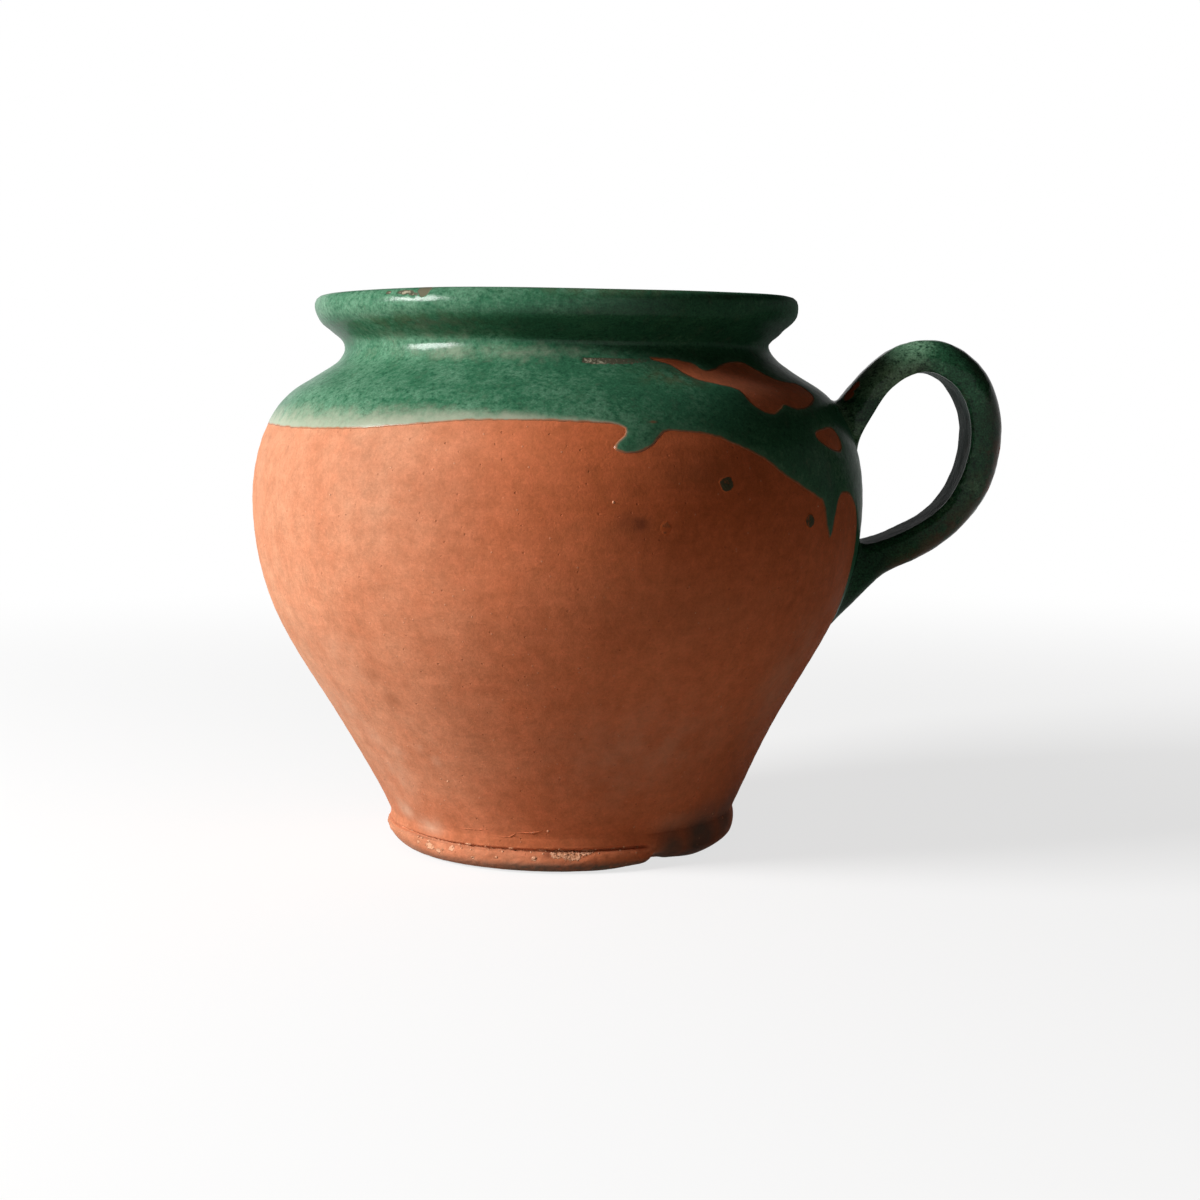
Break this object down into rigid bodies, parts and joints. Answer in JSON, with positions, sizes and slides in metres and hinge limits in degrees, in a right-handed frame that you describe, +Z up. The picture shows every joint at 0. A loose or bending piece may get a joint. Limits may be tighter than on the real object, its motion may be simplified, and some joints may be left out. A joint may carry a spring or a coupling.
{
  "type": "earthenware jug",
  "caption": "Round-bellied earthenware jug with a rolled rim, narrow foot and strap handle, bare terracotta below and copper green glaze over rim, shoulder, handle and inside.",
  "frame": {"origin": "centre of the foot, on the surface that the jug stands on", "axes": "+Z up along the wheel axis, +X out through the middle of the handle, +Y completes a right-handed frame"},
  "size_m": [0.2055, 0.1668, 0.15],
  "materials": {
    "terracotta": "bare fired earthenware, fine grained, matt, with faint throwing lines",
    "copper_green_glaze": "glossy copper green lead-type glaze, mottled, thin and pale where it ran"
  },
  "bodies": {
    "root": {"vessel": "terracotta", "handle": "terracotta", "collar_glaze": "copper_green_glaze", "lining_glaze": "copper_green_glaze", "handle_glaze": "copper_green_glaze", "glaze_splashes": "copper_green_glaze"}
  },
  "joints": []
}
